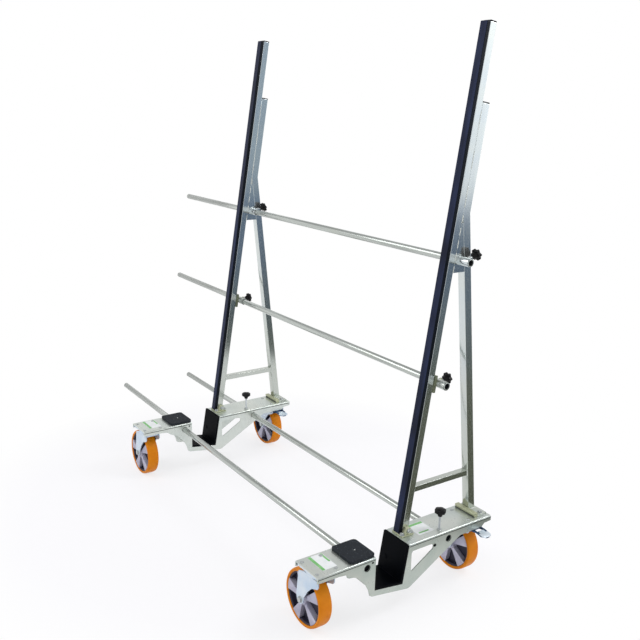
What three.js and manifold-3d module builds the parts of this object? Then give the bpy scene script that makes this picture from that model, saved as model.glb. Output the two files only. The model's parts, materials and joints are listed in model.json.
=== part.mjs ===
// Sheet goods cart: two leaning end frames on swivel casters, joined by four round bars.
// Millimetres, +Z up, the bars run along X and sheets lean back toward +Y.
import * as THREE from "three";
import { mergeVertices } from "three/addons/utils/BufferGeometryUtils.js";
import loadManifold from "manifold-3d";

const wasm = await loadManifold();
wasm.setup();

// Driving sizes
const deckHeight = 240;
const deckLength = 752;
const deckWidth = 126;
const sheet = 4;
const gap = 0.3;
const frameSpacing = 1332;
const barLength = 2020;
const barRadius = 12;
const boreRadius = 12.9;
const sleeveRadius = 14.6;
const lean = THREE.MathUtils.degToRad(8.25);
const postHeight = 1900;
const strutShort = 245;
const tubeSize = 30;
const tubeWall = 2.5;
const tubeCentreX = -18;
const facingDepth = 14;
const postDepth = 26;
const casterStack = 40;
const wheelWidth = 50;
const wheelSides = 28;
const tyreDepth = 12;
const trail = 52;
const pedalReach = 108;

// Derived sizes: the deck stands a wheel and a caster stack above the floor
const wheelRadius = (deckHeight - casterStack) / 2;
const axleHeight = wheelRadius * Math.cos(Math.PI / wheelSides);
const strutTop = postHeight - strutShort;
const deckFront = -deckLength / 2;
const deckRear = deckLength / 2;
const frontCasterY = deckFront + 48;
const rearCasterY = deckRear - 56;
const halfDeck = deckWidth / 2;
const deckUnder = deckHeight - sheet;
const tubeLeft = tubeCentreX - tubeSize / 2;
const tubeRight = tubeCentreX + tubeSize / 2;
const postStart = { y: 0, z: deckHeight };
const tubeFront = facingDepth + gap;
const tubeBack = tubeFront + postDepth;
const strutFront = tubeBack + gap;
const strutBack = strutFront + tubeSize;

// Each bar: where its axis lies, where its right end is, from the right frame's centre
const lowerBarDrop = 28;
const middleBarRise = 521;
const topBarRise = 928;
const barAxes = {
  front_lower_bar: { y: -182, z: deckHeight - lowerBarDrop, rightEnd: 56 },
  rear_lower_bar: { y: 172, z: deckHeight - lowerBarDrop - 1, rightEnd: 56 },
  middle_bar: { y: 138, z: deckHeight + middleBarRise, rightEnd: 38 },
  top_bar: { y: 194, z: deckHeight + topBarRise, rightEnd: 49 },
};
const leftmost = barAxes.middle_bar.rightEnd - barLength;
const centreX = (leftmost + pedalReach) / 2;

const zincSteel = { color: 0xb9bbae, roughness: 0.42, metalness: 0.85 };
const brightSteel = { color: 0xc9cac6, roughness: 0.28, metalness: 0.95 };
const blueZinc = { color: 0xa9b6bd, roughness: 0.35, metalness: 0.85 };
const blackRubber = { color: 0x15161c, roughness: 0.62, metalness: 0 };
const greyRubber = { color: 0x2b2c2e, roughness: 0.8, metalness: 0 };
const blackPlastic = { color: 0x121215, roughness: 0.5, metalness: 0 };
const orangeTyre = { color: 0xe58a12, roughness: 0.45, metalness: 0 };
const castAluminium = { color: 0x8f8f98, roughness: 0.5, metalness: 0.75 };

function solid(geometry) {
  geometry.deleteAttribute("normal");
  geometry.deleteAttribute("uv");
  const merged = mergeVertices(geometry, 1e-4);
  return new wasm.Manifold(new wasm.Mesh({
    numProp: 3,
    vertProperties: new Float32Array(merged.attributes.position.array),
    triVerts: new Uint32Array(merged.index.array),
  }));
}

function toGeometry(body) {
  const mesh = body.getMesh();
  const geometry = new THREE.BufferGeometry();
  geometry.setAttribute("position", new THREE.BufferAttribute(mesh.vertProperties, 3));
  geometry.setIndex(new THREE.BufferAttribute(mesh.triVerts, 1));
  geometry.computeVertexNormals();
  return geometry;
}

function join(...bodies) {
  return bodies.reduce((sum, body) => sum.add(body));
}

function block(x0, x1, y0, y1, z0, z1) {
  const geometry = new THREE.BoxGeometry(x1 - x0, y1 - y0, z1 - z0);
  geometry.translate((x0 + x1) / 2, (y0 + y1) / 2, (z0 + z1) / 2);
  return solid(geometry);
}

function extrude(points, depth, matrix) {
  const shape = new THREE.Shape(points.map(([u, v]) => new THREE.Vector2(u, v)));
  const geometry = new THREE.ExtrudeGeometry(shape, { depth, bevelEnabled: false });
  geometry.applyMatrix4(matrix);
  return solid(geometry);
}

const alongX = new THREE.Vector3(1, 0, 0);
const alongY = new THREE.Vector3(0, 1, 0);
const alongZ = new THREE.Vector3(0, 0, 1);
const againstY = new THREE.Vector3(0, -1, 0);

// Outline in (y, z), carried from x0 to x1
function prismX(points, x0, x1) {
  const matrix = new THREE.Matrix4().makeBasis(alongY, alongZ, alongX).setPosition(x0, 0, 0);
  return extrude(points, x1 - x0, matrix);
}

// Outline in (x, z), carried from y0 to y1
function prismY(points, y0, y1) {
  const matrix = new THREE.Matrix4().makeBasis(alongX, alongZ, againstY).setPosition(0, y1, 0);
  return extrude(points, y1 - y0, matrix);
}

// Outline in (x, y), carried from z0 to z1
function prismZ(points, z0, z1) {
  return extrude(points, z1 - z0, new THREE.Matrix4().makeTranslation(0, 0, z0));
}

function rod(axis, centre, radius, from, to, sides) {
  const geometry = new THREE.CylinderGeometry(radius, radius, to - from, sides);
  geometry.translate(0, (from + to) / 2, 0);
  geometry.applyQuaternion(new THREE.Quaternion().setFromUnitVectors(alongY, axis));
  geometry.translate(centre[0], centre[1], centre[2]);
  return solid(geometry);
}

// Profile in (radius, height) turned about the Z axis
function turned(profile, sides) {
  const points = profile.map(([r, h]) => new THREE.Vector2(r, h));
  const geometry = new THREE.LatheGeometry(points, sides, Math.PI / sides);
  geometry.rotateX(Math.PI / 2);
  return solid(geometry);
}

// Profile in (radius, height) turned about the Y axis, with a flat resting on the floor
function turnedWheel(profile) {
  const points = profile.map(([r, h]) => new THREE.Vector2(r, h));
  return solid(new THREE.LatheGeometry(points, wheelSides, Math.PI / wheelSides));
}

function roundedRect(x0, x1, y0, y1, radius, steps) {
  const points = [];
  const corners = [[x1 - radius, y1 - radius], [x0 + radius, y1 - radius],
    [x0 + radius, y0 + radius], [x1 - radius, y0 + radius]];
  corners.forEach(([cx, cy], corner) => {
    for (let step = 0; step <= steps; step += 1) {
      const angle = (corner + step / steps) * Math.PI / 2;
      points.push([cx + radius * Math.cos(angle), cy + radius * Math.sin(angle)]);
    }
  });
  return points;
}

// Leaning coordinates: behind = distance behind the facing's front, up = distance along the post
function leaned(behind, up) {
  return [
    postStart.y + behind * Math.cos(lean) + up * Math.sin(lean),
    postStart.z - behind * Math.sin(lean) + up * Math.cos(lean),
  ];
}

function upAtHeight(behind, z) {
  return (z - postStart.z + behind * Math.sin(lean)) / Math.cos(lean);
}

function backAtHeight(behind, z) {
  return leaned(behind, upAtHeight(behind, z))[0];
}

const footTop = deckHeight + gap + 6;
const tubeBase = footTop + gap;
const postUp = upAtHeight(0, postHeight);
const strutUp = upAtHeight(strutBack, strutTop);

// A length of leaning tube or strip between two depths, cut level at the foot
function leaningStrip(front, back, base, topUp, x0, x1) {
  return prismX([
    leaned(front, upAtHeight(front, base)),
    leaned(back, upAtHeight(back, base)),
    leaned(back, topUp),
    leaned(front, topUp),
  ], x0, x1);
}

function postTube() {
  const outer = leaningStrip(tubeFront, tubeBack, tubeBase, postUp, tubeLeft, tubeRight);
  const inner = leaningStrip(tubeFront + tubeWall, tubeBack - tubeWall, tubeBase - 20, postUp + 20,
    tubeLeft + tubeWall, tubeRight - tubeWall);
  return outer.subtract(inner);
}

function postFacing() {
  return leaningStrip(0, facingDepth, tubeBase, postUp, tubeLeft, tubeRight);
}

function postCap() {
  const lip = 4;
  const plug = leaningStrip(tubeFront + tubeWall + gap, tubeBack - tubeWall - gap, postHeight - 20,
    postUp + gap + 1, tubeLeft + tubeWall + gap, tubeRight - tubeWall - gap);
  const plate = prismX([
    leaned(tubeFront, postUp + gap),
    leaned(tubeBack, postUp + gap),
    leaned(tubeBack, postUp + gap + lip),
    leaned(tubeFront, postUp + gap + lip),
  ], tubeLeft, tubeRight);
  return plate.add(plug);
}

const strutFootRear = deckRear - 18;
const bendRise = 1078;
const bendHeight = deckHeight + bendRise;
const strutBend = leaned(strutBack, upAtHeight(strutBack, bendHeight));
const strutFall = (strutFootRear - strutBend[0]) / (strutBend[1] - tubeBase);
const strutThick = tubeSize * Math.hypot(1, strutFall);

function strutRearAt(z) {
  return strutFootRear - (z - tubeBase) * strutFall;
}

function strutFrontAt(z) {
  return strutRearAt(z) - strutThick;
}

// The strut's outline, drawn smaller by a margin and longer by an overrun
function strutOutline(margin, overrun) {
  const inset = margin * Math.hypot(1, strutFall);
  const low = tubeBase - overrun;
  const high = strutUp + overrun;
  const front = strutFront + margin;
  const back = strutBack - margin;
  const rearBend = lineCross(back, strutRearAt(low) - inset, low);
  const frontBend = lineCross(front, strutFrontAt(low) + inset, low);
  return [
    [strutRearAt(low) - inset, low],
    rearBend,
    leaned(back, high),
    leaned(front, high),
    frontBend,
    [strutFrontAt(low) + inset, low],
  ];
}

// Where the falling line from (footY, footZ) meets the leaning line at a depth
function lineCross(behind, footY, footZ) {
  const startY = backAtHeight(behind, footZ);
  const rise = (footY - startY) / (Math.tan(lean) + strutFall);
  return [startY + rise * Math.tan(lean), footZ + rise];
}

function rearStrut() {
  const outer = prismX(strutOutline(0, 0), tubeLeft, tubeRight);
  const inner = prismX(strutOutline(tubeWall, 20), tubeLeft + tubeWall, tubeRight - tubeWall);
  return outer.subtract(inner);
}

function strutCap() {
  const lip = 4;
  const plate = prismX([
    leaned(strutFront, strutUp + gap),
    leaned(strutBack, strutUp + gap),
    leaned(strutBack, strutUp + gap + lip),
    leaned(strutFront, strutUp + gap + lip),
  ], tubeLeft, tubeRight);
  const plug = prismX([
    leaned(strutFront + tubeWall + gap, strutUp - 16),
    leaned(strutBack - tubeWall - gap, strutUp - 16),
    leaned(strutBack - tubeWall - gap, strutUp + gap + 1),
    leaned(strutFront + tubeWall + gap, strutUp + gap + 1),
  ], tubeLeft + tubeWall + gap, tubeRight - tubeWall - gap);
  return plate.add(plug);
}

const braceRise = 144;
const braceDepth = 20;

function crossBrace() {
  const low = deckHeight + braceRise;
  const high = low + braceDepth;
  const side = 12;
  const wall = 2;
  const outer = prismX([
    [backAtHeight(tubeBack, low) + gap, low],
    [strutFrontAt(low) - gap, low],
    [strutFrontAt(high) - gap, high],
    [backAtHeight(tubeBack, high) + gap, high],
  ], tubeCentreX - side, tubeCentreX + side);
  const inner = block(tubeCentreX - side + wall, tubeCentreX + side - wall, 0, deckRear, low + wall, high - wall);
  return outer.subtract(inner);
}

// A short guide tube along X round a bar's axis
function sleeve(bar, x0, x1) {
  return rod(alongX, [0, bar.y, bar.z], sleeveRadius, x0, x1, 16);
}

function barBore(bar) {
  return rod(alongX, [0, bar.y, bar.z], boreRadius, -deckWidth, deckWidth, 16);
}

const studRadius = 4;
const studBore = 4.7;
const studClear = barRadius + 0.4;
const knobs = {
  top: { bar: barAxes.top_bar, x: 21, ahead: 0, tilt: 20, studFrom: studClear, headFrom: 34 },
  middle: { bar: barAxes.middle_bar, x: -18, ahead: 0, tilt: 4, studFrom: studClear, headFrom: 34 },
  deck: { bar: barAxes.rear_lower_bar, x: 40, ahead: 26, tilt: 90, studFrom: -10, headFrom: 81 },
};
const nutReach = 26;
const lugHalf = 10;

function knobAxis(knob) {
  const tilt = THREE.MathUtils.degToRad(knob.tilt);
  return new THREE.Vector3(0, Math.cos(tilt), Math.sin(tilt));
}

function knobCentre(knob) {
  return [knob.x, knob.bar.y - knob.ahead, knob.bar.z];
}

function knobRod(knob, radius, from, to, sides) {
  const turn = new THREE.Matrix4().makeRotationFromQuaternion(
    new THREE.Quaternion().setFromUnitVectors(alongZ, knobAxis(knob)));
  turn.setPosition(...knobCentre(knob));
  return rod(alongZ, [0, 0, 0], radius, from, to, sides).transform(turn.elements);
}

// The threaded nut on a sleeve and the way through it for the clamp stud
function addClampNut(body, knob) {
  const nut = knobRod(knob, 9, sleeveRadius - 1.5, nutReach, 6);
  return body.add(nut).subtract(knobRod(knob, studBore, 0, 80, 12));
}

// Ear on the front of a split guide tube that an upright clamp stud draws together
function clampEar(knob) {
  const [x, y, z] = knobCentre(knob);
  return block(x - lugHalf, x + lugHalf, y - lugHalf, knob.bar.y, z - lugHalf + 2, z + lugHalf - 2);
}

function starKnob(knob) {
  const { studFrom, headFrom } = knob;
  const lobes = 6;
  const steps = 24;
  const outline = [];
  for (let step = 0; step < steps; step += 1) {
    const angle = step * 2 * Math.PI / steps;
    const radius = 17.2 + 2.2 * Math.cos(lobes * angle);
    outline.push([radius * Math.cos(angle), radius * Math.sin(angle)]);
  }
  const stud = rod(alongZ, [0, 0, 0], studRadius, studFrom, headFrom + 2, 8);
  const boss = rod(alongZ, [0, 0, 0], 9, headFrom, headFrom + 12, 12);
  const head = prismZ(outline, headFrom + 9, headFrom + 26);
  const dome = rod(alongZ, [0, 0, 0], 11, headFrom + 25, headFrom + 29, 12);
  const turn = new THREE.Matrix4().makeRotationFromQuaternion(
    new THREE.Quaternion().setFromUnitVectors(alongZ, knobAxis(knob)));
  turn.setPosition(...knobCentre(knob));
  return join(stud, boss, head, dome).transform(turn.elements);
}

const webDrop = 40;
const webShort = 30;
const sleeveShort = 2;
const sleeveStart = tubeLeft - 4;

// Web filling the fork of post and strut, flush with their outer faces
function headGusset() {
  const bar = barAxes.top_bar;
  const low = bar.z - webDrop;
  const high = bendHeight - webShort;
  const plate = prismX([
    [backAtHeight(tubeBack + gap, low), low],
    [strutFrontAt(low) - gap, low],
    [strutFrontAt(high) - gap, high],
    [backAtHeight(tubeBack + gap, high), high],
  ], tubeRight - sheet, tubeRight);
  const body = join(plate, sleeve(bar, sleeveStart, bar.rightEnd - sleeveShort)).subtract(barBore(bar));
  return addClampNut(body, knobs.top);
}

function middleBracket() {
  const bar = barAxes.middle_bar;
  const centreUp = upAtHeight(tubeBack, bar.z);
  const half = sleeveRadius * 2;
  const front = tubeBack + gap;
  const back = front + 9.5;
  const plate = prismX([
    leaned(front, centreUp - half),
    leaned(back, centreUp - half),
    leaned(back, centreUp + half),
    leaned(front, centreUp + half),
  ], tubeLeft, tubeRight + 4);
  const body = join(plate, sleeve(bar, sleeveStart, bar.rightEnd - sleeveShort)).subtract(barBore(bar));
  return addClampNut(body, knobs.middle);
}

// Well shape, as the sheet's upper face
const wellFrontY = -147.5;
const wellFrontLow = deckHeight - 120.5;
const wellRearLow = { y: -28, z: deckHeight - 138 };
const wellRearTop = -6;
const wallSlope = (wellRearTop - wellRearLow.y) / (deckHeight - wellRearLow.z);
const floorSlope = (wellRearLow.z - wellFrontLow) / (wellRearLow.y - wellFrontY);

// Corner of floor and rear wall, moved up off the floor and forward off the wall
function wellCorner(floorRise, wallShift) {
  const lift = floorRise * Math.hypot(1, floorSlope);
  const shift = wallShift * Math.hypot(1, wallSlope);
  const z = (wellRearLow.z + lift - floorSlope * shift) / (1 - floorSlope * wallSlope)
    - wellRearLow.z * floorSlope * wallSlope / (1 - floorSlope * wallSlope);
  return [wellRearLow.y - shift + (z - wellRearLow.z) * wallSlope, z];
}

function floorAt(y, rise) {
  return wellRearLow.z + (y - wellRearLow.y) * floorSlope + rise * Math.hypot(1, floorSlope);
}

function wallAt(z, shift) {
  return wellRearLow.y + (z - wellRearLow.z) * wallSlope - shift * Math.hypot(1, wallSlope);
}

// Lower edge of a cheek and its window, as (y, drop below the deck)
const flangeDrop = 19;
const lowerEdge = [
  [deckRear, flangeDrop],
  [deckRear - 32, flangeDrop + 2],
  [deckRear - 44, 32],
  [228, 34],
  [4, 161],
  [-4, 163],
  [-158, 139],
  [-167, 134],
  [-173, 112],
  [-190, 80],
  [-222, 49],
  [-250, 37],
  [-268, 24],
  [-290, flangeDrop + 2],
  [deckFront, flangeDrop],
];
const windowEdge = [[10, 27], [92, 27], [103, 34], [101, 46], [13, 100], [6, 98], [5, 35]];
const boltHole = { y: -160, drop: 15, radius: 4 };

function baseChannel() {
  const strip = prismX([
    [deckFront, deckHeight],
    [wellFrontY, deckHeight],
    [wellFrontY, floorAt(wellFrontY, 0)],
    wellCorner(0, 0),
    [wellRearTop, deckHeight],
    [deckRear, deckHeight],
    [deckRear, deckUnder],
    [wallAt(deckUnder, -sheet), deckUnder],
    wellCorner(-sheet, -sheet),
    [wellFrontY - sheet, floorAt(wellFrontY - sheet, -sheet)],
    [wellFrontY - sheet, deckUnder],
    [deckFront, deckUnder],
  ], -halfDeck, halfDeck);
  const cheek = [
    [deckFront, deckHeight],
    [wellFrontY, deckHeight],
    [wellFrontY, floorAt(wellFrontY, 0)],
    wellCorner(0, 0),
    [wellRearTop, deckHeight],
    [deckRear, deckHeight],
    ...lowerEdge.map(([y, drop]) => [y, deckHeight - drop]),
  ];
  const window = windowEdge.map(([y, drop]) => [y, deckHeight - drop]);
  const rightCheek = prismX(cheek, halfDeck - sheet, halfDeck);
  const leftCheek = prismX(cheek, -halfDeck, -halfDeck + sheet);
  const front = barAxes.front_lower_bar;
  const rear = barAxes.rear_lower_bar;
  const reach = halfDeck - sheet / 2;
  const through = halfDeck + 1;
  const frontTube = sleeve(front, -reach, reach);
  const rearTube = sleeve(rear, -reach, reach).add(clampEar(knobs.deck));
  return join(strip, rightCheek, leftCheek, frontTube, rearTube)
    .subtract(prismX(window, -through, through))
    .subtract(rod(alongX, [0, boltHole.y, deckHeight - boltHole.drop], boltHole.radius, -through, through, 12))
    .subtract(barBore(front))
    .subtract(barBore(rear))
    .subtract(knobRod(knobs.deck, studBore, -40, 80, 12));
}

function wellLining() {
  const thick = 8;
  const inner = wellCorner(gap + thick, gap + thick);
  const outer = wellCorner(gap, gap);
  const front = wellFrontY + gap;
  return prismX([
    [front, floorAt(front, gap)],
    outer,
    [wallAt(deckHeight, gap), deckHeight],
    [wallAt(deckHeight, gap + thick), deckHeight],
    inner,
    [front, floorAt(front, gap + thick)],
  ], -halfDeck, halfDeck);
}

function frontPad() {
  const outline = roundedRect(-57, 57, -244, wellFrontY + 3, 12, 3);
  const screwHole = rod(alongZ, [0, -188, 0], 5.5, deckHeight - 5, deckHeight + 20, 12);
  return prismZ(outline, deckHeight + gap, deckHeight + 10).subtract(screwHole);
}

// Base plate under the post with a block standing against its outer face
function postFoot() {
  const plate = block(tubeLeft - 5, 16, 1, 52, deckHeight + gap, footTop);
  const rib = prismX([[12, footTop - 1], [40, footTop - 1], [42, footTop + 20], [22, footTop + 24]],
    tubeRight + gap, 13);
  return plate.add(rib);
}

// Base plate under the strut with a stop bar along its front edge
function strutFoot() {
  const front = strutFootRear - 50;
  const plate = block(-52, 44, front + 8, strutFootRear + 12, deckHeight + gap, footTop);
  const stop = prismX([
    [front + 4, deckHeight + gap],
    [front + 18, deckHeight + gap],
    [front + 18, deckHeight + 15],
    [front + 1, deckHeight + 15],
    [front, deckHeight + 14],
    [front, deckHeight + 10],
  ], -52, 44);
  return plate.add(stop);
}

const casterTop = deckUnder - gap;
const crownTop = casterTop - 25.7;
const crownUnder = crownTop - 6;

// Bolted plate, bearing head and king pin, about the swivel axis
function casterHead(y) {
  const plate = prismZ(roundedRect(-55, 55, -48, 48, 8, 2), casterTop - 5, casterTop);
  const spindle = turned([
    [0, crownUnder - 7],
    [13, crownUnder - 7],
    [13, crownUnder - 0.4],
    [8.6, crownUnder - 0.4],
    [8.6, crownTop + 0.5],
    [31, crownTop + 0.5],
    [38, casterTop - 14],
    [38, casterTop - 2],
    [0, casterTop - 2],
  ], 16);
  return plate.add(spindle).translate([0, y, 0]);
}

const legInner = wheelWidth / 2 + 3.5;
const legOuter = legInner + sheet;
const pedalPivot = { x: 36, z: crownUnder - 12 };

function casterFork(y, braked) {
  const eye = -trail;
  const leg = [[40, crownTop], [-34, crownTop], [eye - 14, crownTop - 12], [eye - 24, axleHeight + 9],
    [eye - 18, axleHeight - 11], [eye, axleHeight - 17], [eye + 14, axleHeight - 7], [eye + 19, axleHeight + 17],
    [-14, crownTop - 63], [10, crownTop - 38], [40, crownTop - 26], [45, crownTop - 18], [44, crownTop - 7]];
  const crown = prismZ(roundedRect(-34, 40, -legOuter, legOuter, 10, 3), crownUnder, crownTop);
  const nearLeg = prismY(leg, -legOuter, -legInner);
  const farLeg = prismY(leg, legInner, legOuter);
  let fork = join(crown, nearLeg, farLeg)
    .subtract(rod(alongZ, [0, 0, 0], 9.5, crownUnder - 1, crownTop + 1, 16))
    .subtract(rod(alongY, [-trail, 0, axleHeight], 6.7, -60, 60, 12));
  if (braked) {
    fork = fork.subtract(rod(alongY, [pedalPivot.x, 0, pedalPivot.z], 4.4, -60, 60, 12));
  }
  return fork.translate([0, y, 0]);
}

const rimRadius = wheelRadius - tyreDepth;
const bandDepth = 6;
const hubRadius = 20;

function wheelRim(y) {
  const half = wheelWidth / 2;
  const bandInner = rimRadius - bandDepth;
  const band = turnedWheel([[bandInner, -half + 4], [rimRadius, -half + 2], [rimRadius, half - 2],
    [bandInner, half - 4], [bandInner, -half + 4]]);
  const web = rod(alongY, [0, 0, 0], bandInner + 2, -4, 4, wheelSides);
  const hub = rod(alongY, [0, 0, 0], hubRadius, -half - 3, half + 3, 15);
  const spokes = [];
  const spokeCount = 5;
  const root = hubRadius - 5;
  const tip = bandInner + 2;
  const spread = 0.25;
  for (let spoke = 0; spoke < spokeCount; spoke += 1) {
    const angle = (spoke / spokeCount) * 2 * Math.PI + 0.5;
    const before = angle - spread;
    const after = angle + spread;
    spokes.push(prismY([
      [root * Math.cos(before), root * Math.sin(before)],
      [tip * Math.cos(before), tip * Math.sin(before)],
      [tip * Math.cos(after), tip * Math.sin(after)],
      [root * Math.cos(after), root * Math.sin(after)],
    ], -half + 5, half - 5));
  }
  return join(band, web, hub, ...spokes)
    .subtract(rod(alongY, [0, 0, 0], 6.6, -wheelWidth, wheelWidth, 12))
    .translate([-trail, y, axleHeight]);
}

function wheelTyre(y) {
  const half = wheelWidth / 2;
  const inner = rimRadius + gap;
  return turnedWheel([[inner, -half + 2], [wheelRadius - 6, -half], [wheelRadius - 2, -half + 3],
    [wheelRadius, -half + 9], [wheelRadius, half - 9], [wheelRadius - 2, half - 3], [wheelRadius - 6, half],
    [inner, half - 2], [inner, -half + 2]])
    .translate([-trail, y, axleHeight]);
}

function wheelAxle(y) {
  const shaft = rod(alongY, [0, 0, 0], 6, -legOuter - 2, legOuter + 2, 12);
  const nearHead = rod(alongY, [0, 0, 0], 10, -legOuter - 6, -legOuter - gap, 6);
  const farHead = rod(alongY, [0, 0, 0], 10, legOuter + gap, legOuter + 6, 6);
  return join(shaft, nearHead, farHead).translate([-trail, y, axleHeight]);
}

function brakePedal(y) {
  const { x, z } = pedalPivot;
  const half = 22;
  const pin = rod(alongY, [x, 0, z], 3.8, -legOuter, legOuter, 12);
  const knuckle = rod(alongY, [x, 0, z], 7, -legInner + 1, legInner - 1, 12);
  const blade = prismY([[x - 2, z + 5], [x + 2, z - 2], [x + 34, z + 3], [pedalReach, z - 3],
    [pedalReach, z + 1], [x + 34, z + 8], [x + 6, z + 9]], -half, half);
  const opening = block(x + 13, x + 36, -half + 7, half - 7, z - 20, z + 20);
  const cornerCut = join(
    prismZ([[pedalReach - 14, half + 1], [pedalReach + 1, half + 1], [pedalReach + 1, half - 16]], z - 20, z + 20),
    prismZ([[pedalReach - 14, -half - 1], [pedalReach + 1, -half + 16], [pedalReach + 1, -half - 1]], z - 20, z + 20),
  );
  return join(pin, knuckle, blade.subtract(opening).subtract(cornerCut)).translate([0, y, 0]);
}

function bar(axis) {
  const tube = rod(alongX, [0, axis.y, axis.z], barRadius, axis.rightEnd - barLength, axis.rightEnd, 16);
  const hollow = rod(alongX, [0, axis.y, axis.z], barRadius - 2, axis.rightEnd - barLength - 1, axis.rightEnd + 1, 16);
  return tube.subtract(hollow);
}

function caster(end, y, braked) {
  const pieces = [
    [`${end}_caster_head`, casterHead(y), blueZinc],
    [`${end}_caster_fork`, casterFork(y, braked), blueZinc],
    [`${end}_wheel_rim`, wheelRim(y), castAluminium],
    [`${end}_wheel_tyre`, wheelTyre(y), orangeTyre],
    [`${end}_wheel_axle`, wheelAxle(y), brightSteel],
  ];
  if (braked) {
    pieces.push([`${end}_brake_pedal`, brakePedal(y), blueZinc]);
  }
  return pieces;
}

function framePieces() {
  return [
    ["base_channel", baseChannel(), zincSteel],
    ["well_lining", wellLining(), blackRubber],
    ["front_pad", frontPad(), greyRubber],
    ["post_foot", postFoot(), zincSteel],
    ["post_tube", postTube(), zincSteel],
    ["post_facing", postFacing(), blackRubber],
    ["post_cap", postCap(), blackPlastic],
    ["strut_foot", strutFoot(), zincSteel],
    ["rear_strut", rearStrut(), zincSteel],
    ["strut_cap", strutCap(), blackPlastic],
    ["cross_brace", crossBrace(), zincSteel],
    ["head_gusset", headGusset(), zincSteel],
    ["middle_bracket", middleBracket(), zincSteel],
    ["top_knob", starKnob(knobs.top), blackPlastic],
    ["middle_knob", starKnob(knobs.middle), blackPlastic],
    ["deck_knob", starKnob(knobs.deck), blackPlastic],
    ...caster("front", frontCasterY, false),
    ...caster("rear", rearCasterY, true),
  ];
}

function addMesh(parent, name, geometry, look) {
  const mesh = new THREE.Mesh(geometry, new THREE.MeshStandardMaterial(look));
  mesh.name = name;
  parent.add(mesh);
}

const cart = new THREE.Group();
cart.name = "sheet_goods_cart";
const pieces = framePieces().map(([name, body, look]) => [name, toGeometry(body), look]);
for (const [side, x] of [["right", 0], ["left", -frameSpacing]]) {
  const frame = new THREE.Group();
  frame.position.x = x - centreX;
  pieces.forEach(([name, geometry, look]) => addMesh(frame, `${side}_${name}`, geometry.clone(), look));
  cart.add(frame);
}
const bars = new THREE.Group();
bars.position.x = -centreX;
Object.entries(barAxes).forEach(([name, axis]) => addMesh(bars, name, toGeometry(bar(axis)), brightSteel));
cart.add(bars);

export default cart;
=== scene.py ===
"""Dresses the sheet goods cart: plated frames, rubber facings, spoked casters, knobs and fasteners."""
import json
import math

import bmesh
import bpy
from mathutils import Matrix, Vector


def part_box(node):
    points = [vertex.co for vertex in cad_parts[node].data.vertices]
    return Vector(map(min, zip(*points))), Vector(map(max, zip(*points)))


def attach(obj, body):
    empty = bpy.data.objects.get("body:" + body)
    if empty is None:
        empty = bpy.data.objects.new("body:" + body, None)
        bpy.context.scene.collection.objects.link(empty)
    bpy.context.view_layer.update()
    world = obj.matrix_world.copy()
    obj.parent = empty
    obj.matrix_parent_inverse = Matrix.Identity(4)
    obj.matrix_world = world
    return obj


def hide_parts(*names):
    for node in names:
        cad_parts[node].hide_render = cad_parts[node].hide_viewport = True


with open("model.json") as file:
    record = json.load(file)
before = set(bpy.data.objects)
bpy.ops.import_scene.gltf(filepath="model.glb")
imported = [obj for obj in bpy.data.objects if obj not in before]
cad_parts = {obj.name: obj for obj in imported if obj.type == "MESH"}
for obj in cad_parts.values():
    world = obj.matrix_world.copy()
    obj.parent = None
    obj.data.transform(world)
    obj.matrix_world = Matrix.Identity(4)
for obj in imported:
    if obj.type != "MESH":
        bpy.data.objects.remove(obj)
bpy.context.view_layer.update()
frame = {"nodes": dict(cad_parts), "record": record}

SIDES = ("right", "left")
ENDS = ("front", "rear")
BARS = ("front_lower_bar", "rear_lower_bar", "middle_bar", "top_bar")
X_AXIS = Vector((1, 0, 0))
Y_AXIS = Vector((0, 1, 0))
Z_AXIS = Vector((0, 0, 1))
BEHAVIOUR = frame["record"]["behaviour"]
NODE_BODY = {node: body for body, nodes in BEHAVIOUR["bodies"].items() for node in nodes}
JOINTS = {joint["name"]: joint for joint in BEHAVIOUR["joints"]}


def pivot(joint):
    """Where a joint turns, as x, y and z."""
    return JOINTS[joint]["pos_m"]


def bar_line(bar):
    """The y and z of a bar's middle line."""
    low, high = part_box(bar)
    return (low[1] + high[1]) / 2, (low[2] + high[2]) / 2


# Sizes and places in metres; on a frame, x is counted from the frame's middle

FRAME_X = {side: pivot(side + "_front_caster_swivel")[0] for side in SIDES}
base_low, base_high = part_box("right_base_channel")
tube_low, tube_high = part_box("right_post_tube")
SEAT_GAP = 0.0003
DECK_TOP = base_high[2]
DECK_SHEET = 0.004
HALF_DECK = (base_high[0] - base_low[0]) / 2
FOOT_PLATE = 0.006
FOOT_TOP = DECK_TOP + SEAT_GAP + FOOT_PLATE
LEAN = math.radians(8.25)
FACING_DEPTH = 0.014
TUBE_DEPTH = 0.026
TUBE_BACK = FACING_DEPTH + SEAT_GAP + TUBE_DEPTH
TUBE_LEFT = tube_low[0] - FRAME_X["right"]
TUBE_RIGHT = tube_high[0] - FRAME_X["right"]
SLEEVE_RADIUS = 0.0146


# Materials

def linear(red, green, blue):
    """An 8-bit display colour as linear light."""
    def channel(value):
        value /= 255
        return value / 12.92 if value <= 0.04045 else ((value + 0.055) / 1.055) ** 2.4
    return (channel(red), channel(green), channel(blue), 1.0)


class Value:
    """A shader socket that takes part in Python sums."""

    def __init__(self, shading, socket):
        self.shading = shading
        self.socket = socket

    def math(self, operation, first, second):
        return self.shading.node("ShaderNodeMath", {"operation": operation}, {0: first, 1: second})

    def __add__(self, other):
        return self.math("ADD", self, other)

    def __radd__(self, other):
        return self.math("ADD", other, self)

    def __mul__(self, other):
        return self.math("MULTIPLY", self, other)

    def __rmul__(self, other):
        return self.math("MULTIPLY", other, self)

    def larger(self, other):
        return self.math("MAXIMUM", self, other)


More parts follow.
